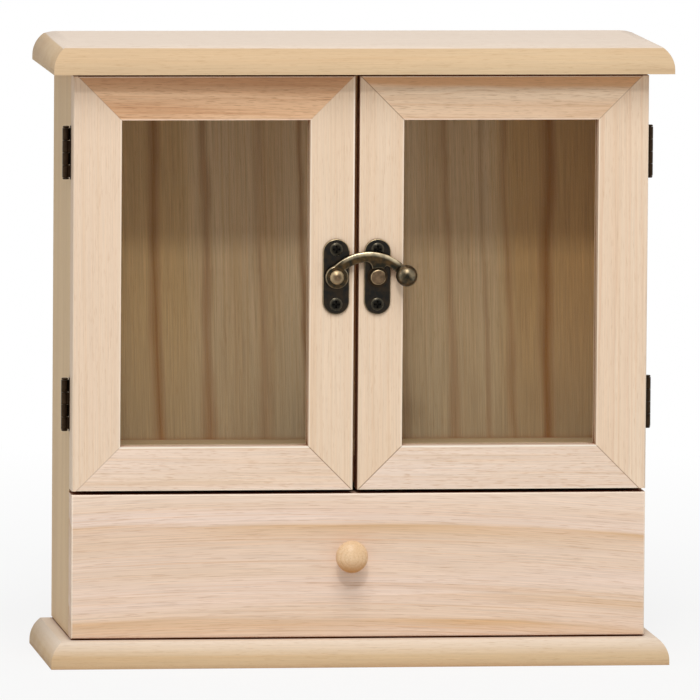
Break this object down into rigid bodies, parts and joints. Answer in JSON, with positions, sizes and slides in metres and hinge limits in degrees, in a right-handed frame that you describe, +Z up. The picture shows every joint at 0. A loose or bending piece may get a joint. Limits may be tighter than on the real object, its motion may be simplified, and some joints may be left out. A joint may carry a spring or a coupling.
{
  "type": "tabletop display cabinet with doors and drawer",
  "caption": "Small tabletop display cabinet in unfinished wood, with glazed doors closed by a swing-arm hook latch, over a full-width drawer with a turned knob.",
  "frame": {"origin": "centre of the bottom board's underside, where the cabinet stands", "axes": "+Z up, +X to the right and +Y to the back seen from the front; the doors and the drawer front face -Y"},
  "size_m": [0.28, 0.1019, 0.2798],
  "materials": {
    "board_wood": "unfinished pale softwood, sanded, with moulded edges",
    "panel_wood": "unfinished pale softwood, sanded",
    "front_wood": "unfinished pale softwood, sanded",
    "back_wood": "unfinished thin board with upright grain",
    "drawer_wood": "unfinished pale softwood",
    "knob_wood": "turned and sanded softwood",
    "dowel_wood": "plain dowel",
    "bead_wood": "unfinished square bead",
    "hinge_bronze": "darkened bronze plating, satin",
    "latch_bronze": "antique bronze plating, satin, lighter on worn edges",
    "screw_steel": "bright zinc",
    "clear_glass": "clear flat glass"
  },
  "bodies": {
    "carcass": {"back_panel": "back_wood", "back_panel_nails": "screw_steel", "bottom_board": "board_wood", "bottom_board_screws": "screw_steel", "case_hinge_screws": "hinge_bronze", "divider_dowels": "dowel_wood", "divider_shelf": "panel_wood", "left_lower_hinge_case_leaf": "hinge_bronze", "left_lower_hinge_pin": "hinge_bronze", "left_side_panel": "panel_wood", "left_upper_hinge_case_leaf": "hinge_bronze", "left_upper_hinge_pin": "hinge_bronze", "right_lower_hinge_case_leaf": "hinge_bronze", "right_lower_hinge_pin": "hinge_bronze", "right_side_panel": "panel_wood", "right_upper_hinge_case_leaf": "hinge_bronze", "right_upper_hinge_pin": "hinge_bronze", "top_board": "board_wood", "top_board_dowels": "dowel_wood"},
    "left_door": {"latch_pivot_rivet": "latch_bronze", "latch_plate": "latch_bronze", "latch_plate_screws": "latch_bronze", "left_door_bottom_rail": "front_wood", "left_door_glass": "clear_glass", "left_door_glazing_beads": "bead_wood", "left_door_hinge_screws": "hinge_bronze", "left_door_hinge_stile": "front_wood", "left_door_lock_stile": "front_wood", "left_door_top_rail": "front_wood", "left_lower_hinge_door_leaf": "hinge_bronze", "left_upper_hinge_door_leaf": "hinge_bronze"},
    "right_door": {"catch_plate": "latch_bronze", "catch_plate_screws": "latch_bronze", "catch_post": "latch_bronze", "right_door_bottom_rail": "front_wood", "right_door_glass": "clear_glass", "right_door_glazing_beads": "bead_wood", "right_door_hinge_screws": "hinge_bronze", "right_door_hinge_stile": "front_wood", "right_door_lock_stile": "front_wood", "right_door_top_rail": "front_wood", "right_lower_hinge_door_leaf": "hinge_bronze", "right_upper_hinge_door_leaf": "hinge_bronze"},
    "latch_arm": {"latch_arm": "latch_bronze"},
    "drawer": {"drawer_back": "drawer_wood", "drawer_bottom": "drawer_wood", "drawer_dowels": "dowel_wood", "drawer_front": "front_wood", "drawer_knob": "knob_wood", "drawer_knob_screw": "screw_steel", "drawer_left_side": "drawer_wood", "drawer_right_side": "drawer_wood"}
  },
  "joints": [
    {"name": "left_door_hinge", "type": "hinge", "parent": "carcass", "child": "left_door", "pos_m": [-0.1322, -0.0263, 0.175], "axis": [0, 0, -1], "range_deg": [0, 180]},
    {"name": "right_door_hinge", "type": "hinge", "parent": "carcass", "child": "right_door", "pos_m": [0.1322, -0.0263, 0.175], "axis": [0, 0, 1], "range_deg": [0, 180]},
    {"name": "latch_arm_pivot", "type": "hinge", "parent": "left_door", "child": "latch_arm", "pos_m": [-0.01135, -0.0409, 0.17535], "axis": [0, -1, 0], "range_deg": [0, 100]},
    {"name": "drawer_slide", "type": "slide", "parent": "carcass", "child": "drawer", "axis": [0, -1, 0], "range_m": [0, 0.055]}
  ],
  "couplings": [
    {"joint": "right_door_hinge", "follows": "left_door_hinge", "ratio": 1}
  ]
}
